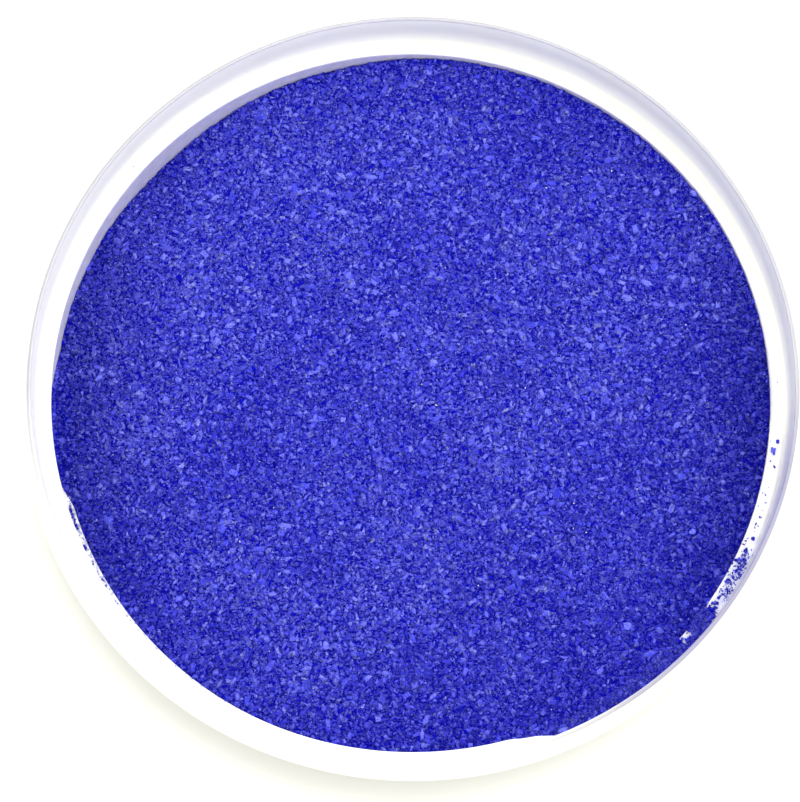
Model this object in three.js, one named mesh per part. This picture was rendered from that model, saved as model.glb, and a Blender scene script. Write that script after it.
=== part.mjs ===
// A shallow round dish of white moulded plastic, filled with fine blue crystals.
// It has the form of a wide screw lid laid on its flat top: a nearly straight skirt, which swells into a
// bead just under its thin rounded lip. Inside it is a helical shelf, which starts near the lip and runs
// down clockwise for about one turn and a quarter.
// Crystals fill the dish to just under the shelf, and a drift of them lies on the lowest stretch of it.
//
// Frame: millimetres, +Z up, origin at the centre of the underside. The shelf starts near -Y.

import * as THREE from "three";

// --- driving dimensions -------------------------------------------------------------------------------

const HEIGHT = 17;
const FLOOR_THICKNESS = 2;
const FOOT_RADIUS = 45.6; // outside of the skirt at the foot
const FOOT_ROUNDING = 1.2; // radius of the outer bottom edge
const SKIRT_RADIUS = 46.1; // outside of the skirt, just under the bead
const BEAD_RADIUS = 47.36; // the bead is the widest ring of the dish
const BEAD_HEIGHT = 13.3;
const BEAD_ROUNDING = 1.2;
const LIP_OUTER_RADIUS = 46;
const LIP_RADIUS = 0.22; // half the thickness of the skirt at the lip
const SKIRT_INNER_RADIUS = 45.5;

const SHELF_START_ANGLE = -62; // degrees from +X, anticlockwise seen from above
const SHELF_START_HEIGHT = 12.25; // height of the shelf's inner edge where it starts
const SHELF_PITCH = 4.7; // drop in one turn
const SHELF_RADIUS = 43.8; // radius of the shelf's inner edge in the first turn
const SHELF_RADIUS_WORN = 43.58; // the edge stands further in after the parting line
const RIDGE_RADIUS = 43.3; // the second turn stands in from the wall as a low ridge
const SHELF_RUN_IN = [[1.2, 7.6, 0.74], [7, 11, 0.26]]; // degrees from and to, and share of its growth
const SHELF_GROWN = 11; // degrees along the shelf where it reaches its full width
const PARTING_LINE = 258; // degrees along the shelf to the small step that the mould left
const PARTING_STEP = 0.1;
const RIDGE_END = 97.1; // degrees along the second turn
const RIDGE_RUN_OUT = 4.8;
const SHELF_FILLET = 1; // height of the hollow corner between skirt and shelf

const BED_RADIUS = 43; // clear of the ridge
const BED_BASE = FLOOR_THICKNESS + 0.3;
const BED_LEVEL = 7.9;
const BED_FLAT_RADIUS = 28; // the bed is level inside this radius, and dips or rises towards the wall
const BED_WALL_LEVELS = [ // angle from +X, and the height of the bed at the wall there
  [0, 7.8], [25, 8.1], [60, 8.3], [90, 8.2], [110, 7], [139, 4.9], [155, 6.2], [168, 6.9], [180, 7],
  [191, 6.6], [198, 6], [215, 6.05], [232, 6.35], [246, 6.95], [262, 7.2], [294, 8.2], [308, 8.3],
  [324, 7.5], [342, 7.55], [360, 7.8],
];

const GAP = 0.3; // left between neighbours, so that no two solids touch

const PLASTIC = new THREE.MeshStandardMaterial({ color: 0xf4f3f7, roughness: 0.35, metalness: 0 });
const CRYSTAL = new THREE.MeshStandardMaterial({ color: 0x2a2fb8, roughness: 0.45, metalness: 0 });

const radians = THREE.MathUtils.degToRad;
const smooth = THREE.MathUtils.smoothstep;
const lerp = THREE.MathUtils.lerp;

// --- closed surfaces swept round the axis -------------------------------------------------------------

// A column is a polyline of [radius, height] from the axis, below, round the section to the axis, above.
// Its end points are shared by every column, so they are left out here and given as the two poles.
class SweptSurface {
  constructor(bottom, top) {
    this.positions = [0, 0, bottom, 0, 0, top];
    this.indices = [];
    this.columns = [];
  }

  addColumn(angle, points) {
    const [c, s] = [Math.cos(radians(angle)), Math.sin(radians(angle))];
    const first = this.positions.length / 3;
    for (const [r, z] of points) this.positions.push(r * c, r * s, z);
    const travel = [0];
    for (let i = 1; i < points.length; i++) {
      const step = Math.hypot(points[i][0] - points[i - 1][0], points[i][1] - points[i - 1][1]);
      travel.push(travel[i - 1] + step);
    }
    this.columns.push({ first, count: points.length, travel });
  }

  // Joins two columns, the second further anticlockwise, whatever their point counts: the polyline that
  // is less far along its own length takes the next step.
  join(a, b) {
    const fraction = (column, i) => column.travel[i] / column.travel[column.count - 1];
    let [i, j] = [0, 0];
    this.indices.push(0, b.first, a.first);
    while (i < a.count - 1 || j < b.count - 1) {
      const stepA = j === b.count - 1 || (i < a.count - 1 && fraction(a, i + 1) <= fraction(b, j + 1));
      if (stepA) this.indices.push(a.first + i, b.first + j, a.first + ++i);
      else this.indices.push(a.first + i, b.first + j, b.first + ++j);
    }
    this.indices.push(1, a.first + i, b.first + j);
  }

  geometry() {
    this.columns.forEach((column, k) => this.join(column, this.columns[(k + 1) % this.columns.length]));
    const geometry = new THREE.BufferGeometry();
    geometry.setAttribute("position", new THREE.Float32BufferAttribute(this.positions, 3));
    geometry.setIndex(this.indices);
    geometry.computeVertexNormals();
    return geometry;
  }
}

function meshOf(name, geometry, material) {
  const mesh = new THREE.Mesh(geometry, material);
  mesh.name = name;
  return mesh;
}

// --- the dish -----------------------------------------------------------------------------------------

// Height of the shelf's inner edge, from the degrees travelled clockwise along it.
const shelfHeight = (travelled) => SHELF_START_HEIGHT - (SHELF_PITCH * travelled) / 360;

// Radius of the shelf's inner edge. Past the parting line it starts a little further out and works in.
function shelfRadius(travelled) {
  if (travelled < PARTING_LINE) return SHELF_RADIUS;
  const worked = smooth(travelled, PARTING_LINE, PARTING_LINE + 44);
  const firstTurn = lerp(SHELF_RADIUS + PARTING_STEP, SHELF_RADIUS_WORN, worked);
  return lerp(firstTurn, RIDGE_RADIUS, smooth(travelled, 370, 384));
}

// The upper shelf grows out of the skirt in two overlapping stages.
function upperEdgeRadius(travelled) {
  const grown = SHELF_RUN_IN.reduce((sum, [from, to, share]) => sum + share * smooth(travelled, from, to), 0);
  return lerp(SKIRT_INNER_RADIUS, shelfRadius(travelled), grown);
}

// The ridge below it is the second turn, and sinks back into the wall at its end.
function lowerEdgeRadius(travelled) {
  const ended = smooth(travelled, RIDGE_END, RIDGE_END + RIDGE_RUN_OUT);
  return lerp(shelfRadius(travelled + 360), upperEdgeRadius(travelled), ended);
}

// The section of one shelf: a hollow corner, a nearly level top and a crisp inner edge.
function shelfSection(outer, inner, height) {
  const width = outer - inner;
  const rise = SHELF_FILLET * Math.max(0.3, Math.min(1, width / (SKIRT_INNER_RADIUS - SHELF_RADIUS)));
  const section = [[0, 1], [0.1, 0.36], [0.32, 0.07], [0.95, 0], [1, -0.12]];
  return section.map(([across, up]) => [outer - across * width, height + up * rise]);
}

function arc(radius, height, size, from, to, steps) {
  return Array.from({ length: steps + 1 }, (_, i) => {
    const turn = radians(lerp(from, to, i / steps));
    return [radius + size * Math.cos(turn), height + size * Math.sin(turn)];
  });
}

function dishColumn(travelled) {
  const upper = upperEdgeRadius(travelled);
  const lower = lowerEdgeRadius(travelled);
  const lowerHeight = Math.max(shelfHeight(travelled + 360), FLOOR_THICKNESS + 0.8);
  return [
    ...arc(FOOT_RADIUS - FOOT_ROUNDING, FOOT_ROUNDING, FOOT_ROUNDING, -90, 0, 3),
    [SKIRT_RADIUS, BEAD_HEIGHT - BEAD_ROUNDING],
    ...arc(BEAD_RADIUS - BEAD_ROUNDING, BEAD_HEIGHT, BEAD_ROUNDING, -60, 20, 4),
    ...arc(LIP_OUTER_RADIUS - LIP_RADIUS, HEIGHT - LIP_RADIUS, LIP_RADIUS, 20, 180, 4),
    ...shelfSection(SKIRT_INNER_RADIUS, upper, shelfHeight(travelled)),
    ...shelfSection(upper, lower, lowerHeight),
    [lower, FLOOR_THICKNESS + 0.5],
    [lower - 0.5, FLOOR_THICKNESS],
  ];
}

// Degrees along the shelf where a column stands: close together where the shelf starts, steps and ends.
function dishStations() {
  const stations = [];
  for (let s = 0; s < SHELF_GROWN; s += 1) stations.push(s);
  for (let s = SHELF_GROWN; s < 359; s += 4) stations.push(s);
  const close = [PARTING_LINE - 0.3, PARTING_LINE, RIDGE_END + 1, RIDGE_END + 3, RIDGE_END + RIDGE_RUN_OUT];
  return [...new Set([...stations, ...close, 359.4])].sort((a, b) => a - b);
}

function dish() {
  const surface = new SweptSurface(0, FLOOR_THICKNESS);
  const stations = dishStations().reverse(); // anticlockwise order
  for (const s of stations) surface.addColumn(SHELF_START_ANGLE - s, dishColumn(s));
  return meshOf("dish_body", surface.geometry(), PLASTIC);
}

// --- the crystals -------------------------------------------------------------------------------------

// Height of the bed's surface at the wall, which changes smoothly from one stated level to the next.
function bedWallLevel(angle) {
  const turn = THREE.MathUtils.euclideanModulo(angle, 360);
  const next = BED_WALL_LEVELS.findIndex(([stop]) => stop > turn);
  const [[from, low], [to, high]] = [BED_WALL_LEVELS[next - 1], BED_WALL_LEVELS[next]];
  return lerp(low, high, smooth(turn, from, to));
}

// Height of the bed's surface: level in the middle, and meeting the wall at the levels stated.
function bedHeight(radius, angle) {
  return lerp(BED_LEVEL, bedWallLevel(angle), smooth(radius, BED_FLAT_RADIUS, SHELF_RADIUS));
}

function crystalBed() {
  const surface = new SweptSurface(BED_BASE, BED_LEVEL);
  const rings = [BED_RADIUS, 40, 36, 31, BED_FLAT_RADIUS, 13];
  for (let angle = 0; angle < 360; angle += 5) {
    const top = rings.map((r) => [r, bedHeight(r, angle)]);
    surface.addColumn(angle, [[BED_RADIUS - 0.9, BED_BASE], [BED_RADIUS, BED_BASE + 0.9], ...top]);
  }
  return meshOf("crystal_bed", surface.geometry(), CRYSTAL);
}

// The drift lies along the last stretch of the first turn, heaped against the skirt, and thins at its ends.
function crystalDrift() {
  const [from, to, steps] = [359.5, 333.5, 13]; // degrees along the shelf, in anticlockwise order
  const positions = [];
  const indices = [];
  const sides = 6;
  for (let i = 0; i <= steps; i++) {
    const s = lerp(from, to, i / steps);
    const base = shelfHeight(s);
    const heap = Math.min(1, 0.45 + 2 * Math.sin((Math.PI * i) / steps));
    const inner = shelfRadius(s) - 0.25;
    const section = [
      [inner, base + GAP], [44.6, base + GAP + 0.05], [45.1, base + GAP + 0.4],
      [45.1, base + GAP + 0.5 + 0.5 * heap], [44.3, base + GAP + 0.3 + 0.6 * heap], [inner, base + GAP + 0.5 * heap],
    ];
    const angle = radians(SHELF_START_ANGLE - s);
    for (const [r, z] of section) positions.push(r * Math.cos(angle), r * Math.sin(angle), z);
    for (let k = 0; i < steps && k < sides; k++) {
      const [a, b] = [i * sides + k, i * sides + ((k + 1) % sides)];
      indices.push(a, a + sides, b, b, a + sides, b + sides);
    }
  }
  const last = steps * sides;
  for (let k = 1; k < sides - 1; k++) {
    indices.push(0, k, k + 1);
    indices.push(last, last + k + 1, last + k);
  }
  const geometry = new THREE.BufferGeometry();
  geometry.setAttribute("position", new THREE.Float32BufferAttribute(positions, 3));
  geometry.setIndex(indices);
  geometry.computeVertexNormals();
  return meshOf("crystal_drift", geometry, CRYSTAL);
}

// One loose crystal: a flat six-sided tablet with bevelled faces.
function crystal(name, length, width, thickness) {
  const outline = new THREE.Shape();
  const corners = [[0.5, 0.1], [0.22, 0.5], [-0.3, 0.42], [-0.5, -0.08], [-0.2, -0.5], [0.34, -0.4]];
  outline.setFromPoints(corners.map(([x, y]) => new THREE.Vector2(x * length * 0.8, y * width * 0.8)));
  const bevel = Math.min(thickness * 0.3, width * 0.1);
  const geometry = new THREE.ExtrudeGeometry(outline, {
    depth: thickness - 2 * bevel, bevelEnabled: true, bevelThickness: bevel, bevelSize: bevel, bevelSegments: 1,
  });
  geometry.translate(0, 0, bevel - thickness / 2);
  return meshOf(name, geometry, CRYSTAL);
}

// Crystals spilled on the shelf: degrees along it, radius, length and width.
const SHELF_CRYSTALS = [
  [302.6, 44.62, 0.55, 0.45], [304.2, 44.3, 1.25, 0.9], [306.7, 44.6, 0.65, 0.5], [315, 44.35, 0.5, 0.4],
  [318.6, 44.6, 0.6, 0.45], [326.5, 44.1, 0.9, 0.6],
];

function shelfCrystal([travelled, radius, length, width], i) {
  const thickness = 0.35;
  const mesh = crystal(`shelf_crystal_${i + 1}`, length, width, thickness);
  const angle = radians(SHELF_START_ANGLE - travelled);
  const lift = GAP + 0.1 + thickness / 2;
  mesh.position.set(radius * Math.cos(angle), radius * Math.sin(angle), shelfHeight(travelled) + lift);
  mesh.rotation.z = angle + Math.PI / 2;
  return mesh;
}

// The largest flakes on the bed: x, y, length, width and turn in degrees.
const BED_FLAKES = [
  [29, 27.5, 1.1, 0.7, 50], [22.5, 17, 1.3, 0.7, -45], [34.5, -15, 0.9, 0.7, 10], [-27, -26, 1, 0.8, 30],
  [-9, -31, 1.1, 0.8, 80], [8, 31, 1, 0.7, -20], [-22, 14, 1.1, 0.7, 15], [27, -27, 1.2, 0.9, -30],
];

function bedFlake([x, y, length, width, turn], i) {
  const thickness = 0.3;
  const mesh = crystal(`bed_flake_${i + 1}`, length, width, thickness);
  const level = bedHeight(Math.hypot(x, y), THREE.MathUtils.radToDeg(Math.atan2(y, x)));
  mesh.position.set(x, y, level + GAP + thickness / 2);
  mesh.rotation.z = radians(turn);
  return mesh;
}

// --- the assembly -------------------------------------------------------------------------------------

const filledDish = new THREE.Group();
filledDish.add(dish(), crystalBed(), crystalDrift());
filledDish.add(...SHELF_CRYSTALS.map(shelfCrystal));
filledDish.add(...BED_FLAKES.map(bedFlake));

export default filledDish;
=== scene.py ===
"""The look of a filled crystallizing dish: white moulded plastic, and a charge of fine blue crystals.

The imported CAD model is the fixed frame. The dish is rebuilt here with smooth sections on the same
dimensions, and every crystal that shows is a mesh of its own, scattered by formula from a fixed seed.
Lengths in this file are millimetres, and MM turns them into Blender's metres.
"""

import math

import bmesh
import bpy
import numpy as np
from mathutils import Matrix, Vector


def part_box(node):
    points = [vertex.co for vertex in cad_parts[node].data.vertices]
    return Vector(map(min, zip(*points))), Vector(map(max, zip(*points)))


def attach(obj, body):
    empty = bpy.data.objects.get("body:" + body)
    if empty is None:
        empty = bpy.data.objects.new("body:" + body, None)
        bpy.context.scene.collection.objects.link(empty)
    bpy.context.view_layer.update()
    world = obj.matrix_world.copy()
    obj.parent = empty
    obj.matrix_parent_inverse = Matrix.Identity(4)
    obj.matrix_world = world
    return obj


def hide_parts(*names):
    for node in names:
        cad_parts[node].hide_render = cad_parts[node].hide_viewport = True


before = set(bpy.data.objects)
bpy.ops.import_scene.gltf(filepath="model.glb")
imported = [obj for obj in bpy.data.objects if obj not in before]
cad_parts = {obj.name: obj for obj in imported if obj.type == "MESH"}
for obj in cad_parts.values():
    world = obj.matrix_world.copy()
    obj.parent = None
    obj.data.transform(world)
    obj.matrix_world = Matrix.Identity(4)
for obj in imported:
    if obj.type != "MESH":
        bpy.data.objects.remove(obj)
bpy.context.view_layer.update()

MM = 0.001
BODY = "root"


def box_mm(node):
    """Lowest and highest corner of a CAD node, in millimetres."""
    low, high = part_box(node)
    return np.array(low) / MM, np.array(high) / MM


# --- dimensions ---------------------------------------------------------------------------------

DISH_LOW, DISH_HIGH = box_mm("dish_body")
BEAD_RADIUS = (DISH_HIGH[0] - DISH_LOW[0]) / 2  # the bead is the widest ring of the dish
HEIGHT = DISH_HIGH[2]
FLOOR_THICKNESS = 2.0
FOOT_RADIUS = BEAD_RADIUS - 1.76
FOOT_ROUNDING = 1.2
SKIRT_RADIUS = BEAD_RADIUS - 1.26
BEAD_HEIGHT = 13.3
BEAD_ROUNDING = 1.2
LIP_OUTER_RADIUS = BEAD_RADIUS - 1.36
LIP_RADIUS = 0.22
SKIRT_INNER_RADIUS = LIP_OUTER_RADIUS - 0.5

# The shelf runs down clockwise from its start for one turn and a quarter. The part past the first turn
# lies under its own start and is called the ridge. Places along the shelf are degrees from its start.
SHELF_START_ANGLE = -62.0  # from +X
SHELF_START_HEIGHT = 12.25
SHELF_PITCH = 4.7
SHELF_SLOPE = 0.02  # rise of the shelf's top towards the skirt
SHELF_RADIUS = 43.8
SHELF_RADIUS_WORN = 43.58
SHELF_RUN_IN = ((1.2, 7.6, 0.74), (7.0, 11.0, 0.26))  # from and to, and share of its growth
SHELF_GROWN = 11.0  # where the shelf reaches its full width
PARTING_LINE = 258.0
PARTING_STEP = 0.1
PARTING_WEAR = 44.0  # past the parting line, where the edge has worked in again
RIDGE_RADIUS = 43.3
RIDGE_NARROWING = (370.0, 384.0)  # where the shelf's edge works in to the ridge's
RIDGE_END = 97.1  # into the second turn
RIDGE_RUN_OUT = 4.8
UNDERCUT = 0.3  # how far the wall steps back under the shelf
UNDERCUT_RUN = (48.0, 56.0, 112.0, 124.0)

BED_LEVEL = 7.9
BED_FLAT_RADIUS = 28.0
BED_WALL_LEVELS = [  # angle from +X, and the height of the bed at the wall there
    (0, 7.8), (25, 8.1), (60, 8.3), (90, 8.2), (110, 7.0), (139, 4.9), (155, 6.2), (168, 6.9), (180, 7.0),
    (191, 6.6), (198, 6.0), (215, 6.05), (232, 6.35), (246, 6.95), (262, 7.2), (294, 8.2), (308, 8.3),
    (324, 7.5), (342, 7.55),
]


def smooth(x, start, end):
    """0 before start, 1 after end, and an S-curve between."""
    t = np.clip((np.asarray(x, float) - start) / (end - start), 0, 1)
    return t * t * (3 - 2 * t)


def within(x, start, full, thinning, end):
    """0 outside a stretch and 1 inside it: it rises from start to full, and falls from thinning to end."""
    return smooth(x, start, full) * (1 - smooth(x, thinning, end))


def mix(a, b, t):
    return a + (b - a) * t


# --- the dish -----------------------------------------------------------------------------------


def shelf_height(travelled):
    """Height of the shelf's inner edge, from the degrees travelled clockwise along it."""
    return SHELF_START_HEIGHT - SHELF_PITCH * travelled / 360


def shelf_radius(travelled):
    """Radius of the shelf's inner edge, which steps out at the parting line and then works in."""
    if travelled < PARTING_LINE:
        return SHELF_RADIUS
    worked = smooth(travelled, PARTING_LINE, PARTING_LINE + PARTING_WEAR)
    first_turn = mix(SHELF_RADIUS + PARTING_STEP, SHELF_RADIUS_WORN, worked)
    return mix(first_turn, RIDGE_RADIUS, smooth(travelled, *RIDGE_NARROWING))


def upper_edge_radius(travelled):
    """Radius of the upper shelf's inner edge, which grows out of the skirt at its start."""
    edge = np.vectorize(shelf_radius)(travelled)
    grown = sum(share * smooth(travelled, start, end) for start, end, share in SHELF_RUN_IN)
    return mix(SKIRT_INNER_RADIUS, edge, grown)


def undercut(travelled):
    return UNDERCUT * within(travelled, *UNDERCUT_RUN)


def lower_edge_radius(travelled):
    ended = smooth(travelled, RIDGE_END, RIDGE_END + RIDGE_RUN_OUT)
    return mix(shelf_radius(travelled + 360), upper_edge_radius(travelled) + undercut(travelled), ended)


def arc(radius, height, size, start, end, steps):
    turns = np.radians(np.linspace(start, end, steps + 1))
    return [(radius + size * math.cos(t), height + size * math.sin(t)) for t in turns]


SHELF_FILLET = (0.55, 1.0)  # reach and height of the hollow corner between skirt and shelf
EDGE_ROUNDING = 0.12
SKIRT_STEPS = 6
FLAT_RADII = (15.0, 30.0)  # where the flat faces have a ring of points, to keep their triangles even
SHARP_ANGLE = 50  # degrees between two faces, over which the edge between them stays sharp


def shelf_section(outer, inner, height):
    """A hollow corner, a slightly sloping top and a crisp inner edge, from the skirt inwards."""
    width = outer - inner
    share = max(0.3, min(1.0, width / (SKIRT_INNER_RADIUS - SHELF_RADIUS)))
    reach = SHELF_FILLET[0] * min(1.0, width / (SKIRT_INNER_RADIUS - SHELF_RADIUS))
    points = []
    for turn in np.radians(np.linspace(0, 90, 9)):
        up = 0.05 + 0.95 * (1 - math.sin(turn))
        points.append((outer - reach * (1 - math.cos(turn)), height + SHELF_FILLET[1] * share * up))
    points.append((outer - 0.8 * width, height + SHELF_SLOPE * share))
    rounding = EDGE_ROUNDING * share
    for turn in np.radians(np.linspace(0, 90, 5)):
        across = width - rounding * (1 - math.sin(turn)) * min(1.0, width)
        points.append((outer - across, height - rounding * (1 - math.cos(turn))))
    return points


def dish_section(travelled):
    """The dish's whole section, from the underside round the lip to the floor, as (radius, height)."""
    upper = float(upper_edge_radius(travelled))
    lower = float(lower_edge_radius(travelled))
    recess = float(undercut(travelled))
    lower_height = max(shelf_height(travelled + 360), FLOOR_THICKNESS + 0.8)
    upper_height = shelf_height(travelled)
    under_bead = BEAD_HEIGHT - BEAD_ROUNDING
    rise = np.linspace(0, 1, SKIRT_STEPS + 1)[1:]
    skirt = [(mix(FOOT_RADIUS, SKIRT_RADIUS, t), mix(FOOT_ROUNDING, under_bead, t)) for t in rise]
    return [
        *[(radius, 0.0) for radius in FLAT_RADII],
        *arc(FOOT_RADIUS - FOOT_ROUNDING, FOOT_ROUNDING, FOOT_ROUNDING, -90, 0, 8),
        *skirt,
        *arc(BEAD_RADIUS - BEAD_ROUNDING, BEAD_HEIGHT, BEAD_ROUNDING, -60, 20, 8),
        *arc(LIP_OUTER_RADIUS - LIP_RADIUS, HEIGHT - LIP_RADIUS, LIP_RADIUS, 20, 180, 12),
        *shelf_section(SKIRT_INNER_RADIUS, upper, upper_height),
        (upper + 0.5 * recess, upper_height - 0.3),
        *shelf_section(upper + recess, lower, lower_height),
        (lower, FLOOR_THICKNESS + 0.6),
        (lower - 0.6, FLOOR_THICKNESS),
        *[(radius, FLOOR_THICKNESS) for radius in reversed(FLAT_RADII)],
    ]


def dish_stations():
    """Degrees along the shelf where a section stands, closer together where the shelf changes."""
    even = np.arange(0, 360, 0.75)
    start = np.arange(0, SHELF_GROWN, 0.25)
    end = np.arange(RIDGE_END, RIDGE_END + RIDGE_RUN_OUT, 0.25)
    parting = [PARTING_LINE - 0.12, PARTING_LINE]
    return np.unique(np.round(np.concatenate([even, start, end, parting, [359.8]]), 3))


def travel(points):
    """Distance along a section from its start, as shares of its length."""
    steps = np.hypot(*np.diff(np.array(points), axis=0).T)
    total = np.concatenate([[0], np.cumsum(steps)])
    return total / total[-1]


def zip_strip(first_a, points_a, first_b, points_b):
    """Triangles between two sections whose points are spaced differently."""
    a, b = travel(points_a), travel(points_b)
    i = j = 0
    faces = []
    while i < len(a) - 1 or j < len(b) - 1:
        step_a = j == len(b) - 1 or (i < len(a) - 1 and a[i + 1] <= b[j + 1])
        if step_a:
            faces.append((first_a + i, first_b + j, first_a + i + 1))
            i += 1
        else:
            faces.append((first_a + i, first_b + j, first_b + j + 1))
            j += 1
    return faces


def dish_mesh():
    stations = dish_stations()[::-1]  # anticlockwise order
    sections = [dish_section(s) for s in stations]
    count = len(sections[0])
    vertices = [(0, 0, 0), (0, 0, FLOOR_THICKNESS)]
    for s, section in zip(stations, sections):
        angle = math.radians(SHELF_START_ANGLE - s)
        vertices += [(r * math.cos(angle), r * math.sin(angle), z) for r, z in section]
    faces = []
    for k in range(len(stations)):
        a = 2 + k * count
        b = 2 + (k + 1) % len(stations) * count
        faces.append((0, b, a))
        faces.append((1, a + count - 1, b + count - 1))
        if b > a:
            faces += [(a + i, b + i, b + i + 1, a + i + 1) for i in range(count - 1)]
        else:
            faces += zip_strip(a, sections[-1], b, sections[0])
    mesh = bpy.data.meshes.new("dish")
    mesh.from_pydata([[c * MM for c in v] for v in vertices], [], faces)
    mesh.shade_smooth()
    mesh.set_sharp_from_angle(angle=math.radians(SHARP_ANGLE))
    return mesh


# --- the crystals -------------------------------------------------------------------------------

SEED = 20261
SECTORS = 12
WALL_CLEARANCE = 0.3  # between the wall and a grain's middle, as a share of the layer's grain size
DEEP_PAINTED_LIGHT_TONE = 0.0  # painted light: the crystals under the surface are a brighter, purer blue, for the light that reaches them only through their neighbours

# Each layer of loose grains: cell of its jittered grid, middle size, spread of sizes, thickness as a
# share of size, most tilt in degrees, depth below the surface, and its shift in tone.
LAYER_KEYS = ("cell", "size", "spread", "flat", "tilt", "depth", "tone")
DEEP_LAYER = (0.40, 0.56, 0.20, (0.3, 0.5), 16, (0.14, 0.24), None)
COARSE_LAYER = (0.36, 0.43, 0.30, (0.20, 0.4), 26, (0.07, 0.18), -0.03)
FLAKE_LAYER = (0.54, 0.66, 0.30, (0.12, 0.24), 20, (0.0, 0.12), 0.03)
FINE_LAYER = (0.40, 0.26, 0.32, (0.3, 0.6), 38, (-0.02, 0.10), 0.04)
LAYERS = [dict(zip(LAYER_KEYS, row)) for row in (DEEP_LAYER, COARSE_LAYER, FLAKE_LAYER, FINE_LAYER)]
SPILT_DUST = dict(zip(LAYER_KEYS, (0.24, 0.16, 0.30, (0.3, 0.6), 60, (0.0, 0.1), 0.08)))


def interpolate_round(angle, stops):
    """Smooth steps between (angle, value) stops that go once round the dish."""
    angle = np.asarray(angle, float) % 360
    stops = stops + [(stops[0][0] + 360, stops[0][1])]
    value = np.zeros_like(angle)
    for (a, va), (b, vb) in zip(stops, stops[1:]):
        here = (angle >= a) & (angle <= b)
        value = np.where(here, mix(va, vb, smooth(angle, a, b)), value)
    return value


BANK_RUN = (173.0, 184.0, 193.0, 194.5)  # degrees from +X: crystals rise against the wall, and stop
BANK_WIDTH = 2.4
BANK_HEIGHT = 2.4
EDGE_ROUGHNESS = 0.22  # the crystals lie unevenly where they meet the wall
EDGE_RUN = (41, 43.5)  # mm from the axis


def bed_height(x, y):
    """Height of the bed's surface: level in the middle, with soft undulations, and meeting the wall."""
    radius, angle = np.hypot(x, y), np.degrees(np.arctan2(y, x)) % 360
    outward = smooth(radius, BED_FLAT_RADIUS, SHELF_RADIUS)
    ripple = 0.10 * np.sin(x / 5.3 + 1.0) * np.sin(y / 6.1 + 0.4) + 0.06 * np.sin(x / 2.1 + y / 2.9)
    bank = BANK_HEIGHT * within(angle, *BANK_RUN) * smooth(radius, SHELF_RADIUS - BANK_WIDTH, SHELF_RADIUS)
    uneven = np.sin(2.3 * x + 1.7 * np.sin(1.9 * y)) * np.sin(2.1 * y + 1.3 * np.sin(1.7 * x))
    edge = EDGE_ROUGHNESS * smooth(radius, *EDGE_RUN) * uneven
    return mix(BED_LEVEL, interpolate_round(angle, BED_WALL_LEVELS), outward) + ripple + bank + edge


WALL_STATIONS = np.arange(0, 360.1, 0.25)
WALL_RADII = np.array([float(lower_edge_radius(s)) for s in WALL_STATIONS])


def travelled_at(angle):
    """Degrees along the first turn of the shelf, at an angle in degrees from +X."""
    return (SHELF_START_ANGLE - np.asarray(angle, float)) % 360


def wall_radius(angle):
    """Radius of the wall that the bed meets, at an angle in degrees from +X."""
    return np.interp(travelled_at(angle), WALL_STATIONS, WALL_RADII)


def shard(sides):
    """A double-ended splinter: a ring of points between two skewed tips."""
    turns = np.arange(sides) * 2 * math.pi / sides
    ring = np.stack([np.cos(turns), np.sin(turns), 0.25 * np.sin(2 * turns)], 1)
    points = np.vstack([ring, [[0.35, 0.2, 1.0], [-0.25, -0.3, -1.0]]])
    nxt = (np.arange(sides) + 1) % sides
    up = np.stack([np.arange(sides), nxt, np.full(sides, sides)], 1)
    down = np.stack([nxt, np.arange(sides), np.full(sides, sides + 1)], 1)
    return points * 0.5, np.vstack([up, down]), np.arange(2 * sides)


def plate(sides, taper):
    """A flat crystal with straight edges, whose top face is smaller than its base by a taper."""
    turns = (np.arange(sides) + 0.5) * 2 * math.pi / sides
    ring = np.stack([np.cos(turns), np.sin(turns)], 1)
    base = np.column_stack([ring, np.full(sides, -1.0)])
    top = np.column_stack([ring * taper + [0.06, 0.04], np.full(sides, 1.0)])
    nxt = (np.arange(sides) + 1) % sides
    here = np.arange(sides)
    faces = [np.stack([here, nxt, sides + nxt], 1), np.stack([here, sides + nxt, sides + here], 1)]
    fan = np.arange(1, sides - 1)
    faces.append(np.stack([np.zeros_like(fan), fan + 1, fan], 1))
    faces.append(sides + np.stack([np.zeros_like(fan), fan, fan + 1], 1))
    facets = np.concatenate([here, here, np.full(sides - 2, sides), np.full(sides - 2, sides + 1)])
    return np.vstack([base, top]) * 0.5, np.vstack(faces), facets


# Each form is its points, its triangles, and the number of the flat facet that each triangle is part of.
FORMS = [plate(4, 0.68), plate(5, 0.74), plate(3, 0.66), shard(4), shard(5)]
FORM_SHARES = [0.36, 0.24, 0.18, 0.12, 0.10]


def turned(spin, tilt, heading):
    """Rotation matrices: a spin about +Z, then a tilt about a level axis at a heading."""
    c, s = np.cos(spin), np.sin(spin)
    zero, one = np.zeros_like(c), np.ones_like(c)
    spins = np.stack([c, -s, zero, s, c, zero, zero, zero, one], 1).reshape(-1, 3, 3)
    ax, ay = np.cos(heading), np.sin(heading)
    c, s = np.cos(tilt), np.sin(tilt)
    k = 1 - c
    first = [c + ax * ax * k, ax * ay * k, ay * s]
    second = [ax * ay * k, c + ay * ay * k, -ax * s]
    third = [-ay * s, ax * s, c]
    return np.stack(first + second + third, 1).reshape(-1, 3, 3) @ spins


def chosen(grains, keep):
    return {key: value[keep] for key, value in grains.items()}


def joined(parts):
    return {key: np.concatenate([part[key] for part in parts]) for key in parts[0]}


FACET_TONES = 0.10  # spread of tone between the facets of one crystal
FACET_LIMITS = (0.12, 0.84)
GRAIN_LENGTHS = (0.9, 1.7)  # as shares of its size
GRAIN_WIDTHS = (0.5, 0.92)
CORNER_JITTER = (0.7, 1.25)


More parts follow.
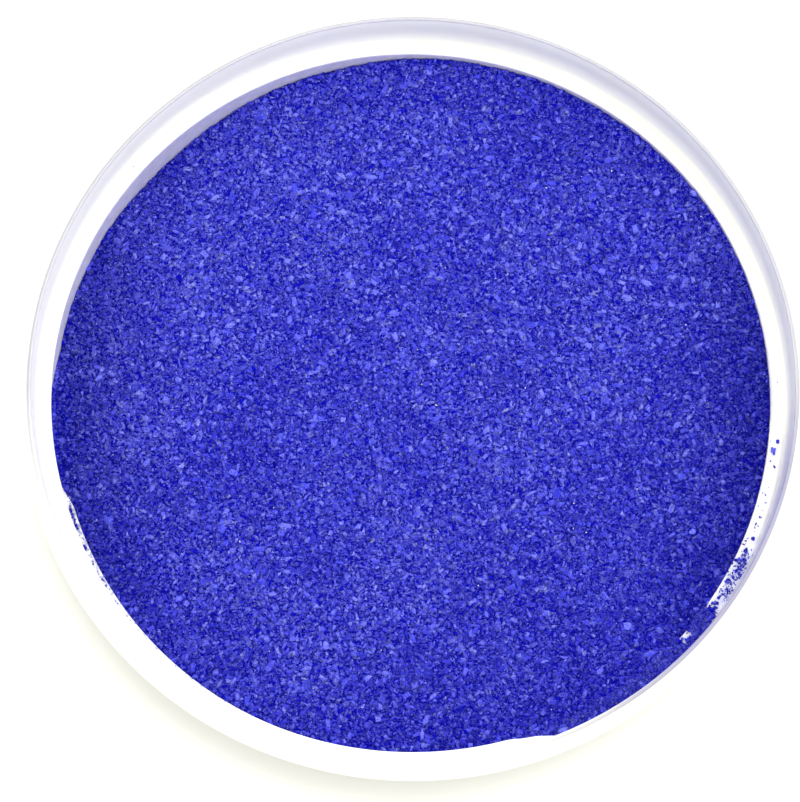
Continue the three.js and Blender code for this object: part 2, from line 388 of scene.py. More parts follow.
def grain_mesh(name, grains, rng):
    """One mesh of many separate crystals, each a jittered copy of a form. Its faces hold their tones."""
    number = len(grains["size"])
    form_of = rng.choice(len(FORMS), number, p=FORM_SHARES)
    spin = rng.uniform(0, 2 * math.pi, number)
    heading = rng.uniform(0, 2 * math.pi, number)
    rotations = turned(spin, grains["tilt"], heading)
    long = grains["size"] * rng.uniform(*GRAIN_LENGTHS, number)
    wide = grains["size"] * rng.uniform(*GRAIN_WIDTHS, number)
    stretch = np.stack([long, wide, grains["thick"]], 1)
    all_points, all_faces, all_tones = [], [], []
    first = 0
    for k, (points, faces, facets) in enumerate(FORMS):
        these = np.flatnonzero(form_of == k)
        if not len(these):
            continue
        shape = points[None] * rng.uniform(*CORNER_JITTER, (len(these), len(points), 3))
        shape = shape * stretch[these][:, None]
        placed = np.einsum("nij,nvj->nvi", rotations[these], shape) + grains["place"][these][:, None]
        all_points.append(placed.reshape(-1, 3))
        offsets = first + len(points) * np.arange(len(these))
        all_faces.append((faces[None] + offsets[:, None, None]).reshape(-1, 3))
        spread = rng.normal(0, FACET_TONES, (len(these), facets.max() + 1))[:, facets]
        own = np.repeat(grains["tone"][these][:, None], len(faces), axis=1)
        loose = (own >= GRAIN_TONES[0]) & (own <= GRAIN_TONES[1])
        all_tones.append(np.where(loose, np.clip(own + spread, *FACET_LIMITS), own).ravel())
        first += placed.shape[0] * placed.shape[1]
    return triangle_mesh(name, np.vstack(all_points), np.vstack(all_faces), np.concatenate(all_tones))


def triangle_mesh(name, points, faces, tones):
    mesh = bpy.data.meshes.new(name)
    mesh.vertices.add(len(points))
    mesh.vertices.foreach_set("co", (points * MM).astype(np.float32).ravel())
    mesh.loops.add(faces.size)
    mesh.loops.foreach_set("vertex_index", faces.astype(np.int32).ravel())
    mesh.polygons.add(len(faces))
    mesh.polygons.foreach_set("loop_start", np.arange(0, faces.size, 3, dtype=np.int32))
    mesh.update(calc_edges=True)
    tone = mesh.attributes.new("tone", "FLOAT", "FACE")
    tone.data.foreach_set("value", tones.astype(np.float32))
    return mesh


GRID_JITTER = 0.55  # of a cell, each way


def scattered(rng, cell, reach):
    """Points of a jittered hexagonal grid over a square of the given reach each way."""
    rows = np.arange(-reach, reach, cell * math.sqrt(0.75))
    columns = np.arange(-reach, reach, cell)
    x, y = np.meshgrid(columns, rows)
    x = x + cell * 0.5 * (np.arange(len(rows)) % 2)[:, None]
    jitter = GRID_JITTER * cell
    x = x + rng.uniform(-jitter, jitter, x.shape)
    y = y + rng.uniform(-jitter, jitter, y.shape)
    return x.ravel(), y.ravel()


GRAIN_TONES = (0.14, 0.86)  # least and most tone of a grain that isn't a painted glint
TONE_BASE = 0.19
TONE_SPREAD = 0.58
TONE_BELL = (2.5, 2.9)  # shape of the beta distribution of tones
# A glint is a painted highlight: a small grain coloured near white.
PAINTED_GLINT_TONE = 1.3
PAINTED_GLINT_SHARE = 0.0009
PAINTED_GLINT_SIZE = 0.2
LARGE_SHIFT = 0.12  # in tone, for each mm of size over LARGE_SIZE
LARGE_SIZE = 0.5
SHADED_SIDE = (0.8, -0.6)  # painted shade: the charge is a little darker towards this side, and next to the wall
SHADED_SIDE_SHIFT = 0.03
SHADED_EDGE_SHIFT = 0.05
SHADED_EDGE_RUN = (33, 44)  # mm from the axis
SIZE_LIMITS = (0.15, 1.35)
TILT_BELL = (1.2, 1.7)  # shape of the beta distribution of tilts


def grain_tones(rng, x, y, size):
    """Tone of each grain: mostly middle blues, with faint patches, paler large flakes, painted side shade
    and a few painted glints.
    """
    patch = 0.035 * np.sin(x / 3.7 + 1.3) * np.sin(y / 4.3) + 0.025 * np.sin(x / 9 - y / 11)
    across = (x * SHADED_SIDE[0] + y * SHADED_SIDE[1]) / SHELF_RADIUS
    painted_shade = SHADED_SIDE_SHIFT * across + SHADED_EDGE_SHIFT * smooth(np.hypot(x, y), *SHADED_EDGE_RUN)
    own = TONE_BASE + TONE_SPREAD * rng.beta(*TONE_BELL, len(x))
    tone = own + patch - painted_shade + LARGE_SHIFT * np.clip(size - LARGE_SIZE, 0, 0.6)
    painted_glint = rng.random(len(x)) < PAINTED_GLINT_SHARE
    return np.where(painted_glint, PAINTED_GLINT_TONE, np.clip(tone, *GRAIN_TONES))


def layer_of_grains(rng, layer, x, y, height):
    """Grains of one layer at the places given, at a height for each, with the layer's sizes and tones."""
    number = len(x)
    size = np.clip(layer["size"] * rng.lognormal(0, layer["spread"], number), *SIZE_LIMITS)
    depth = rng.uniform(*layer["depth"], number)
    tone = grain_tones(rng, x, y, size)
    if layer["tone"] is None:
        tone = np.full(number, DEEP_PAINTED_LIGHT_TONE)
    else:
        size = np.where(tone < PAINTED_GLINT_TONE, size, PAINTED_GLINT_SIZE)
        tone = np.where(tone < PAINTED_GLINT_TONE, np.clip(tone + layer["tone"], *GRAIN_TONES), tone)
    return {
        "place": np.stack([x, y, height - depth], 1),
        "size": size,
        "thick": size * rng.uniform(*layer["flat"], number),
        "tilt": np.radians(layer["tilt"]) * rng.beta(*TILT_BELL, number),
        "tone": tone,
        "angle": np.degrees(np.arctan2(y, x)) % 360,
    }


def bed_grains():
    """Every loose grain of the bed's surface."""
    rng = np.random.default_rng(SEED)
    parts = []
    for layer in LAYERS:
        x, y = scattered(rng, layer["cell"], SHELF_RADIUS + 0.5)
        radius, angle = np.hypot(x, y), np.degrees(np.arctan2(y, x))
        inside = radius < wall_radius(angle) - WALL_CLEARANCE * layer["size"]
        x, y = x[inside], y[inside]
        parts.append(layer_of_grains(rng, layer, x, y, bed_height(x, y)))
    return joined(parts)


def shelf_top(travelled, radius):
    """Height of the shelf's upper face."""
    corner = SKIRT_INNER_RADIUS - SHELF_FILLET[0]
    return shelf_height(travelled) + SHELF_SLOPE + 0.4 * smooth(radius, corner, SKIRT_INNER_RADIUS)


# Small crystals lying loose on the shelf: degrees travelled along it, radius, size and tone.
SHELF_SPECKS = [
    (137.2, 44.8, 0.16, 0.15), (142.4, 44.7, 0.20, 0.2), (147.0, 44.6, 0.14, 0.3), (155.2, 45.0, 0.22, 0.2),
    (293.0, 44.5, 0.24, 0.12), (290.5, 44.7, 0.12, 0.6), (294.1, 44.8, 0.12, 0.5), (296.7, 44.4, 0.12, 0.5),
    (299.2, 44.9, 0.14, 0.4), (300.0, 43.9, 0.16, 0.45), (302.6, 43.8, 0.15, 0.5), (305.8, 44.1, 0.3, 0.4),
    (307.0, 43.85, 0.16, 0.5), (309.2, 44.2, 0.14, 0.3), (311.1, 44.0, 0.26, 0.5), (311.3, 44.35, 0.3, 0.5),
    (312.5, 44.65, 0.42, 0.5), (313.3, 43.9, 0.22, 0.45), (314.9, 44.6, 0.3, 0.6), (316.2, 44.3, 0.5, 0.4),
    (316.4, 44.65, 0.36, 0.5), (316.8, 44.3, 0.34, 0.45), (318.8, 44.0, 0.3, 0.45), (319.3, 43.9, 0.3, 0.4),
    (313.8, 44.5, 0.16, 0.4), (317.4, 44.45, 0.2, 0.3), (310.0, 44.5, 0.14, 0.3),
]
RIDGE_SPECK_RUN = (60, 99.5)  # into the second turn, where specks lie in the ridge's corner
RIDGE_SPECK_COUNT = 520
RIDGE_SPECK_RADII = (43.60, 43.86)
RIDGE_SPECK_SIZES = (0.18, 0.40)
RIDGE_SPECK_TONES = (0.05, 0.45)
RIDGE_SPECK_LIFTS = (0, 0.5)  # some are heaped on others
RIDGE_DENSE_RUN = (453.4, 454.4, 456.5, 458)
RIDGE_DUST_COUNT = 900
RIDGE_DUST_SIZES = (0.08, 0.22)
RIDGE_DUST_TONES = (0.90, 1.04)
RIDGE_DUST_RUN = (438, 448)  # the dust thickens over this stretch

SPILL_START = 319.0
SPILL_END = 360 + SHELF_GROWN + 1.0  # it runs on under the start of the shelf
SCATTER_FULL = 322.0
SCATTER_COVER = 0.95
GAP_RUN = (328.2, 329.2, 330.2, 331.4)  # a thinner stretch between the scatter and the heap
HEAP_RUN = (330.6, 332.6)
BARE_RUN = (335.8, 336.6, 341.0, 342.5)  # a patch of shelf at its inner edge shows through the heap
BARE_THINNING = (338.2, 339.2)
HEAPED_RUN = (337, 354)  # the heap grows higher over this stretch
HEAP_HEIGHTS = (0.2, 0.5)  # above the shelf, and how much more at its highest
SPILL_LIFTS = (-0.03, 0.03, 0.06, 0.08, 0.1)  # of each layer, and of the dust
SETTLED_RUN = (330, 334)  # before this stretch single grains lie on the shelf itself


def shelf_cover(travelled, radius):
    """Share of the shelf that spilt crystals cover: a scatter, then a heap with one bare patch in it."""
    across = (radius - SHELF_RADIUS) / (SKIRT_INNER_RADIUS - SHELF_RADIUS)  # 0 at its edge, 1 at the skirt
    middle = 1 - 0.85 * smooth(np.abs(across - 0.48), 0.18, 0.5)
    scatter = SCATTER_COVER * smooth(travelled, SPILL_START, SCATTER_FULL) * middle
    clumped = 0.55 + 0.45 * np.sin(travelled * 4.1 + across * 9) * np.sin(travelled * 2.3 - across * 7)
    heap = smooth(travelled, HEAP_RUN[0], HEAP_RUN[1] + 5 * smooth(across, 0.5, 0.95))
    patch = within(travelled, *BARE_RUN) * (1 - 0.45 * smooth(travelled, *BARE_THINNING))
    bare = patch * (1 - smooth(across, 0.3, 0.6))
    loose = scatter * clumped * (1 - 0.7 * within(travelled, *GAP_RUN))
    return np.clip(loose + heap, 0, 1) * (1 - 0.93 * bare)


def specks(rng, travelled, radius, size, tone, lift=0.0):
    """Single grains that lie on the shelf, or on the ridge where travelled is over 360."""
    angle = np.radians(SHELF_START_ANGLE - travelled)
    thick = size * 0.5
    z = shelf_top(travelled, radius) + 0.4 * thick + lift
    return {
        "place": np.stack([radius * np.cos(angle), radius * np.sin(angle), z], 1),
        "size": size * 0.85,
        "thick": thick,
        "tilt": rng.uniform(0, 0.3, len(size)),
        "tone": tone,
        "angle": np.degrees(angle) % 360,
    }


def ridge_specks(rng):
    """A broken line of specks caught in the corner above the ridge, thickest near the ridge's end."""
    travelled = 360 + rng.uniform(*RIDGE_SPECK_RUN, RIDGE_SPECK_COUNT)
    wave = np.sin(travelled * 1.9) + 0.7 * np.sin(travelled * 4.3) + 0.5 * np.sin(travelled * 11)
    travelled = travelled[wave > 1.0 - 2.6 * within(travelled, *RIDGE_DENSE_RUN)]
    number = len(travelled)
    radius = rng.uniform(*RIDGE_SPECK_RADII, number)
    size = rng.uniform(*RIDGE_SPECK_SIZES, number)
    tone = rng.uniform(*RIDGE_SPECK_TONES, number)
    lift = rng.uniform(*RIDGE_SPECK_LIFTS, number)
    return specks(rng, travelled, radius, size, tone, lift)


def ridge_dust(rng):
    """Pale dust over the whole top of the ridge, in broken patches."""
    travelled = 360 + rng.uniform(*RIDGE_SPECK_RUN, RIDGE_DUST_COUNT)
    radius = rng.uniform(RIDGE_RADIUS + 0.04, 43.8, RIDGE_DUST_COUNT)
    wave = np.sin(travelled * 2.7 + radius * 9) + np.sin(travelled * 6.1 - radius * 5)
    kept = wave > 0.7 - 1.5 * smooth(travelled, *RIDGE_DUST_RUN)
    travelled, radius = travelled[kept], radius[kept]
    size = rng.uniform(*RIDGE_DUST_SIZES, len(travelled))
    tone = rng.uniform(*RIDGE_DUST_TONES, len(travelled))
    return specks(rng, travelled, radius, size, tone)


def spill(rng, layer, lift):
    """One layer of the crystals that have run over the last stretch of the shelf."""
    x, y = scattered(rng, layer["cell"] * 0.85, SKIRT_INNER_RADIUS + 0.5)
    radius, angle = np.hypot(x, y), np.degrees(np.arctan2(y, x))
    travelled = travelled_at(angle)
    travelled = np.where(travelled < SPILL_END - 360, travelled + 360, travelled)
    outer = np.where(travelled > 360, upper_edge_radius(travelled - 360), SKIRT_INNER_RADIUS)
    inside = (radius > SHELF_RADIUS_WORN - 0.25) & (radius < outer - 0.3 * layer["size"])
    inside &= (travelled > SPILL_START) & (rng.random(len(x)) < shelf_cover(travelled, radius))
    x, y, travelled, radius = x[inside], y[inside], travelled[inside], radius[inside]
    top = shelf_top(travelled, radius)
    heaped = HEAP_HEIGHTS[1] * smooth(travelled, *HEAPED_RUN)
    height = top + HEAP_HEIGHTS[0] + heaped * (1 - 0.5 * smooth(radius, 44.2, 45.5))
    grains = layer_of_grains(rng, layer, x, y, height + lift)
    settled = 1 - smooth(travelled, *SETTLED_RUN)
    grains["place"][:, 2] = mix(grains["place"][:, 2], top + 0.4 * grains["thick"], settled)
    grains["tilt"] = grains["tilt"] * (1 - 0.6 * settled)
    grains["size"] = grains["size"] * (1 - 0.38 * settled)
    grains["tone"] = grains["tone"] + 0.3 * settled * rng.random(len(x)) ** 2
    return grains


def shelf_grains():
    """Every spilt crystal that is too small for a piece of its own."""
    rng = np.random.default_rng(SEED + 2)
    travelled, radius, size, tone = np.array(SHELF_SPECKS).T
    parts = [specks(rng, travelled, radius, size, tone), ridge_specks(rng), ridge_dust(rng)]
    parts += [spill(rng, layer, lift) for layer, lift in zip(LAYERS + [SPILT_DUST], SPILL_LIFTS)]
    return joined(parts)


CORE_DROP = 0.26  # the core's top lies this far below the surface
CORE_GAP = 0.05  # to the plastic
CORE_TONE = 0.14
CORE_CHAMFER = (0.9, 1.0)  # width and height, where the core clears the floor's sloping corner
CORE_STEP = 1.5  # degrees


def bed_core_mesh():
    """The closed body of the charge, just under the loose surface grains."""
    shares = np.concatenate([np.linspace(0.035, 0.93, 60), np.linspace(0.94, 1.0, 8)])
    angles = np.arange(0, 360, CORE_STEP)
    base = FLOOR_THICKNESS + CORE_GAP
    points = [(0, 0, float(bed_height(0, 0)) - CORE_DROP), (0, 0, base)]
    for angle in angles:
        c, s = math.cos(math.radians(angle)), math.sin(math.radians(angle))
        reach = float(wall_radius(angle)) - CORE_GAP
        rings = shares * reach
        tops = bed_height(rings * c, rings * s) - CORE_DROP
        points += [(r * c, r * s, z) for r, z in zip(rings, tops)]
        foot = reach - CORE_CHAMFER[0]
        points += [(reach * c, reach * s, base + CORE_CHAMFER[1]), (foot * c, foot * s, base)]
    count = len(shares) + 2
    faces = []
    for k in range(len(angles)):
        a, b = 2 + k * count, 2 + (k + 1) % len(angles) * count
        faces += [(0, a, b), (1, b + count - 1, a + count - 1)]
        faces += [(a + i, a + i + 1, b + i + 1, b + i) for i in range(count - 1)]
    mesh = bpy.data.meshes.new("core")
    mesh.from_pydata([[c * MM for c in p] for p in points], [], faces)
    mesh.shade_smooth()
    tone = mesh.attributes.new("tone", "FLOAT", "FACE")
    tone.data.foreach_set("value", np.full(len(mesh.polygons), CORE_TONE, np.float32))
    return mesh


SHELF_CRYSTALS = {  # tone, and how many crystals make up a clump
    "shelf_crystal_1": (0.42, 0), "shelf_crystal_2": (0.66, 5), "shelf_crystal_3": (0.4, 2),
    "shelf_crystal_4": (0.55, 2), "shelf_crystal_5": (0.3, 0), "shelf_crystal_6": (0.5, 4),
}
BED_FLAKE_TONES = [0.76, 0.70, 0.78, 0.68, 0.74, 0.68, 0.72, 0.77]
CAD_LIFT = 0.3  # the CAD model holds each loose crystal this far clear of what it lies on
REST_LIFT = 0.05  # and here it lies this far clear
CRYSTAL_CORNERS = 18
CLUMP_CORNERS = 14
CLUMP_REACH = 0.24
CLUMP_SIZES = (0.45, 0.62)
SINGLE_FACET_TONES = 0.09


def crystal_points(rng, middle, size, count):
    """Points near the surface of a squarish lozenge that fills a box."""
    way = rng.normal(0, 1, (count, 3))
    way /= np.max(np.abs(way), axis=1)[:, None] ** 0.55 * np.linalg.norm(way, axis=1)[:, None] ** 0.45
    return middle + way * size * 0.5


def hull_mesh(name, bodies, tone, rng):
    """Sharp-edged closed crystals, each the convex hull of its points, in one mesh."""
    form = bmesh.new()
    for points in bodies:
        corners = [form.verts.new(point * MM) for point in points]
        hull = bmesh.ops.convex_hull(form, input=corners, use_existing_faces=False)
        loose = [v for v in hull["geom_interior"] + hull["geom_unused"] if isinstance(v, bmesh.types.BMVert)]
        bmesh.ops.delete(form, geom=loose, context="VERTS")
    bmesh.ops.recalc_face_normals(form, faces=form.faces)
    mesh = bpy.data.meshes.new(name)
    form.to_mesh(mesh)
    form.free()
    facet_tones = tone + rng.normal(0, SINGLE_FACET_TONES, len(mesh.polygons))
    tones = mesh.attributes.new("tone", "FLOAT", "FACE")
    tones.data.foreach_set("value", np.clip(facet_tones, *FACET_LIMITS))
    return mesh


def loose_crystal(node, tone, clump, rng):
    """The detailed crystal, or small clump of them, that stands for one CAD crystal."""
    low, high = box_mm(node)
    middle, size = (low + high) / 2, high - low
    middle[2] -= CAD_LIFT - REST_LIFT
    bodies = [crystal_points(rng, middle, size, CRYSTAL_CORNERS)]
    if clump:
        shifts = rng.uniform(-CLUMP_REACH, CLUMP_REACH, (clump, 3)) * size
        bodies = []
        for shift in shifts:
            own_size = size * rng.uniform(*CLUMP_SIZES)
            bodies.append(crystal_points(rng, middle + shift, own_size, CLUMP_CORNERS))
    return hull_mesh(node, bodies, tone, rng)


# --- materials ----------------------------------------------------------------------------------


class Nodes:
    """A small helper that adds nodes and links to one material."""

    def __init__(self, name):
        self.material = bpy.data.materials.new(name)
        self.material.use_nodes = True
        self.tree = self.material.node_tree
        self.shader = self.tree.nodes["Principled BSDF"]

    def add(self, kind, **settings):
        node = self.tree.nodes.new(kind)
        for key, value in settings.items():
            setattr(node, key, value)
        return node

    def link(self, source, target):
        self.tree.links.new(source, target)

    def noise(self, scale, detail=3.0):
        """Fractal noise in the piece's own space, with so many cells to a metre."""
        coordinates = self.add("ShaderNodeTexCoord")
        node = self.add("ShaderNodeTexNoise")
        node.inputs["Scale"].default_value = scale
        node.inputs["Detail"].default_value = detail
        self.link(coordinates.outputs["Object"], node.inputs["Vector"])
        return node.outputs["Fac"]

    def remap(self, value, low, high, out_low, out_high):
        node = self.add("ShaderNodeMapRange")
        for key, number in zip(("From Min", "From Max", "To Min", "To Max"), (low, high, out_low, out_high)):
            node.inputs[key].default_value = number
        self.link(value, node.inputs["Value"])
        return node.outputs["Result"]

    def rise(self, value, start, end):
        """A share that grows from 0 to 1 between two distances in millimetres."""
        return self.remap(value, start * MM, end * MM, 0.0, 1.0)

    def fall(self, value, start, end):
        """A share that shrinks from 1 to 0 between two distances in millimetres."""
        return self.remap(value, start * MM, end * MM, 1.0, 0.0)

    def combined(self, operation, a, b):
        node = self.add("ShaderNodeMath", operation=operation)
        self.link(a, node.inputs[0])
        self.link(b, node.inputs[1])
        return node.outputs[0]

    def total(self, a, b):
        return self.combined("ADD", a, b)

    def product(self, *factors):
        result = factors[0]
        for factor in factors[1:]:
            result = self.combined("MULTIPLY", result, factor)
        return result

    def radius(self):
        """Distance from the dish's axis, in metres."""
        coordinates = self.add("ShaderNodeTexCoord")
        level = self.add("ShaderNodeVectorMath", operation="MULTIPLY")
        level.inputs[1].default_value = (1, 1, 0)
        length = self.add("ShaderNodeVectorMath", operation="LENGTH")
        self.link(coordinates.outputs["Object"], level.inputs[0])
        self.link(level.outputs["Vector"], length.inputs[0])
        return length.outputs["Value"]

    def towards(self, angle):
        """Distance from the axis, in metres, towards an angle in degrees from +X."""
        coordinates = self.add("ShaderNodeTexCoord")
        dot = self.add("ShaderNodeVectorMath", operation="DOT_PRODUCT")
        dot.inputs[1].default_value = (math.cos(math.radians(angle)), math.sin(math.radians(angle)), 0)
        self.link(coordinates.outputs["Object"], dot.inputs[0])
        return dot.outputs["Value"]

    def scaled(self, colour, share):
        node = self.add("ShaderNodeVectorMath", operation="SCALE")
        self.link(colour, node.inputs[0])
        self.link(share, node.inputs["Scale"])
        return node.outputs["Vector"]

    def height(self):
        """Height above the table, in metres."""
        coordinates = self.add("ShaderNodeTexCoord")
        split = self.add("ShaderNodeSeparateXYZ")
        self.link(coordinates.outputs["Object"], split.inputs[0])
        return split.outputs["Z"]

    def blend(self, share, first, second):
        """A colour between two: a Mix node's sockets 6 and 7 are its colours, and 2 is its result."""
        node = self.add("ShaderNodeMix", data_type="RGBA")
        self.link(share, node.inputs["Factor"])
        self.link(first, node.inputs[6])
        self.link(second, node.inputs[7])
        return node.outputs[2]

    def ramp(self, value, stops):
        node = self.add("ShaderNodeValToRGB")
        elements = node.color_ramp.elements
        while len(elements) < len(stops):
            elements.new(0.5)
        for element, (position, colour) in zip(elements, stops):
            element.position = position
            element.color = (*colour, 1.0)
        self.link(value, node.inputs["Fac"])
        return node.outputs["Color"]

    def bump(self, height, strength, distance):
        node = self.add("ShaderNodeBump")
        node.inputs["Strength"].default_value = strength
        node.inputs["Distance"].default_value = distance
        self.link(height, node.inputs["Height"])
        self.link(node.outputs["Normal"], self.shader.inputs["Normal"])


# Linear colours of the plastic, of the painted shade and of the dust on it, each as the two ends of its
# clouding.
CLEAN = ((0.925, 0.915, 0.82), (0.95, 0.94, 0.85))
# The lip's colours are painted shade: greyer than the plastic, and darkest on its outside.
LIP_INSIDE_SHADE = ((0.58, 0.57, 0.575), (0.62, 0.61, 0.615))
LIP_OUTSIDE_SHADE = ((0.40, 0.395, 0.415), (0.44, 0.43, 0.455))
# The lip by the spill: blue dust and painted shade together.
LIP_DUSTED_AND_SHADED = ((0.31, 0.305, 0.40), (0.35, 0.34, 0.44))
# Painted blue-grey shade on the wall under the shelf.
SHADE_UNDER_SHELF = ((0.60, 0.585, 0.68), (0.70, 0.685, 0.76))
# By the spill, on the wall and the shelf: blue dust and painted shade together.
DUST_AND_SHADE_ON_WALL = ((0.58, 0.57, 0.64), (0.66, 0.65, 0.72))
DUST_AND_SHADE_ON_SHELF = ((0.72, 0.74, 0.92), (0.86, 0.87, 0.95))

LIP_LIT_ANGLE = 245  # painted shade: away from here the lip is painted grey, and towards here it is as white as the rest
LIP_LIT_REACH = (22, 44)
SPILL_DUST_AND_SHADE_ANGLE = -28  # dust from the spill and painted shade lie on the lip and the inner face of the skirt here
SPILL_DUST_AND_SHADE_REACH = (39.6, 44.2)  # mm towards that angle, where the dust and painted shade start and are full
DRIFT_DUST_AND_SHADE_ANGLE = -42  # and dust with painted blue shade on the shelf, round the drift
DRIFT_DUST_AND_SHADE_REACH = (41.0, 42.6)


def clouded(n, cloud, colours):
    """A colour that varies softly between two."""
    return n.ramp(cloud, list(zip((0.3, 0.7), colours)))


def patchy(n, colours):
    """Fine patches between two colours, for dust and for painted shade."""
    return n.ramp(n.noise(900, detail=5), list(zip((0.35, 0.65), colours)))


def wall_colour(n, cloud, by_spill):
    """White, with painted blue-grey shade under the shelf at the far side, and dust with painted shade on
    the wall and shelf round the spill.
    """
    radius = n.radius()
    above_floor = n.rise(n.height(), FLOOR_THICKNESS + 0.2, FLOOR_THICKNESS + 0.4)
    above_bed = n.rise(n.height(), BED_LEVEL - 0.8, BED_LEVEL - 0.4)
    under_shelf = n.fall(radius, SHELF_RADIUS, SHELF_RADIUS + 0.12)
    far_side = n.rise(n.towards(90), -3, 0)
    from_shelf = n.rise(radius, SHELF_RADIUS, SHELF_RADIUS + 0.1)
    to_wall = n.fall(radius, SKIRT_INNER_RADIUS - 0.5, SKIRT_INNER_RADIUS - 0.2)
    from_wall = n.rise(radius, SKIRT_INNER_RADIUS - 0.5, SKIRT_INNER_RADIUS - 0.2)
    within_wall = n.fall(radius, SKIRT_INNER_RADIUS + 0.2, SKIRT_INNER_RADIUS + 0.35)
    by_drift = n.rise(n.towards(DRIFT_DUST_AND_SHADE_ANGLE), *DRIFT_DUST_AND_SHADE_REACH)
    # painted shade on the wall under the shelf, on the far side only
    shaded_under_shelf = n.product(under_shelf, far_side, above_floor)
    wall = n.blend(shaded_under_shelf, clouded(n, cloud, CLEAN), patchy(n, SHADE_UNDER_SHELF))
    on_wall = n.product(from_wall, within_wall, by_spill, above_bed)
    wall = n.blend(on_wall, wall, patchy(n, DUST_AND_SHADE_ON_WALL))
    on_shelf = n.product(from_shelf, to_wall, by_drift, above_bed)
    return n.blend(on_shelf, wall, patchy(n, DUST_AND_SHADE_ON_SHELF))


def lip_colour(n, cloud, by_spill):
    """The thin lip is painted greyer as shade, most of all on its outside, and has dust with painted shade
    on it beside the spill.
    """
    outward = n.rise(n.radius(), LIP_OUTER_RADIUS - 0.38, LIP_OUTER_RADIUS - 0.2)
    lip = n.blend(outward, clouded(n, cloud, LIP_INSIDE_SHADE), clouded(n, cloud, LIP_OUTSIDE_SHADE))
    return n.blend(by_spill, lip, clouded(n, cloud, LIP_DUSTED_AND_SHADED))


def plastic_material():
    """Milky white polyolefin, thin enough to let light through, with blue dust where crystals have lain, and
    painted shade on the lip, under the shelf and round the spill.
    """
    n = Nodes("white_plastic")
    cloud = n.noise(55, detail=4)
    by_spill = n.rise(n.towards(SPILL_DUST_AND_SHADE_ANGLE), *SPILL_DUST_AND_SHADE_REACH)
    on_lip = n.rise(n.height(), HEIGHT - 0.6, HEIGHT - 0.25)
    shaded_lip_side = n.fall(n.towards(LIP_LIT_ANGLE), *LIP_LIT_REACH)
    wall, lip = wall_colour(n, cloud, by_spill), lip_colour(n, cloud, by_spill)
    # the lip gets its painted grey shade away from the lit side
    n.link(n.blend(n.product(on_lip, shaded_lip_side), wall, lip), n.shader.inputs["Base Color"])
    n.link(n.remap(n.noise(400), 0.3, 0.7, 0.46, 0.56), n.shader.inputs["Roughness"])
    n.bump(n.noise(3500, detail=2), 0.08, 0.00005)
    n.shader.inputs["Subsurface Weight"].default_value = 1.0
    n.shader.inputs["Subsurface Radius"].default_value = (1.0, 1.0, 1.0)
    n.shader.inputs["Subsurface Scale"].default_value = 0.0009
    n.shader.inputs["IOR"].default_value = 1.49
    n.shader.inputs["Specular IOR Level"].default_value = 0.3
    return n.material


CRYSTAL_STOPS = [  # tone, and the linear colour of the crystal at that tone
    # tone 0 is painted light: a brighter, purer blue for the deep crystals in the gaps
    (0.0, (0.003, 0.003, 0.45)),
    (0.10, (0.006, 0.006, 0.33)),
    (0.25, (0.018, 0.018, 0.415)),
    (0.5, (0.056, 0.061, 0.635)),
    (0.75, (0.145, 0.160, 0.86)),
    (0.96, (0.25, 0.275, 0.94)),
    # near white: the painted glints, and the palest dust
    (1.0, (0.90, 0.91, 1.0)),
]
CLOUD_SHIFTS = (-0.15, 0.13)  # in tone, inside a crystal
FLANK_RUN = (28, 45)  # mm to the left and right of the axis, where painted shade darkens the charge
FLANK_PAINTED_SHADE = 0.36
FLANK_SHIFT = 1.2  # mm; the left side has the darker painted shade
FRONT_REACH = 40  # mm behind the axis and in front of it, where the charge has these painted shades
FRONT_PAINTED_SHADES = (1.05, 0.955)
ACROSS_REACH = 50  # mm, which is past the dish's edge


def painted_bed_shade(n):
    """Painted shade on the charge: how much of its colour it keeps, less at its left and right, and a little
    less in front.
    """
    ends = (-ACROSS_REACH * MM, ACROSS_REACH * MM)
    across = n.remap(n.towards(0), *ends, ends[0] - FLANK_SHIFT * MM, ends[1] - FLANK_SHIFT * MM)
    in_bed = n.fall(n.radius(), RIDGE_RADIUS, SHELF_RADIUS)
    start, full = FLANK_RUN
    aside = n.product(across, across, in_bed)
    flank = n.remap(aside, (start * MM) ** 2, (full * MM) ** 2, 1.0, 1.0 - FLANK_PAINTED_SHADE)
    front = n.remap(n.towards(-90), -FRONT_REACH * MM, FRONT_REACH * MM, *FRONT_PAINTED_SHADES)
    return n.product(flank, front)


def crystal_material():
    """Blue crystal: each facet has its tone, with fine clouding inside it, and paler flakes are glossier;
    painted shade darkens it at the sides and front.
    """
    n = Nodes("blue_crystal")
    tone = n.add("ShaderNodeAttribute", attribute_name="tone", attribute_type="GEOMETRY")
    cloud = n.remap(n.noise(5200, detail=3), 0.3, 0.7, *CLOUD_SHIFTS)
    value = n.total(tone.outputs["Fac"], cloud)
    n.link(n.scaled(n.ramp(value, CRYSTAL_STOPS), painted_bed_shade(n)), n.shader.inputs["Base Color"])
    n.link(n.remap(value, 0.0, 1.0, 0.46, 0.2), n.shader.inputs["Roughness"])
    n.bump(n.noise(9000, detail=1), 0.25, 0.00004)
    n.shader.inputs["Specular IOR Level"].default_value = 0.03
    n.shader.inputs["Subsurface Weight"].default_value = 0.7
    n.shader.inputs["Subsurface Radius"].default_value = (0.12, 0.12, 1.0)
    n.shader.inputs["Subsurface Scale"].default_value = 0.0003
    return n.material


FLOOR_COLOUR = (0.855, 0.855, 0.82, 1)


def floor_material():
    """A plain pale table top."""
    n = Nodes("pale_floor")
    n.shader.inputs["Base Color"].default_value = FLOOR_COLOUR
    n.shader.inputs["Roughness"].default_value = 0.6
    n.shader.inputs["Specular IOR Level"].default_value = 0.3
    return n.material


# --- the pieces ---------------------------------------------------------------------------------


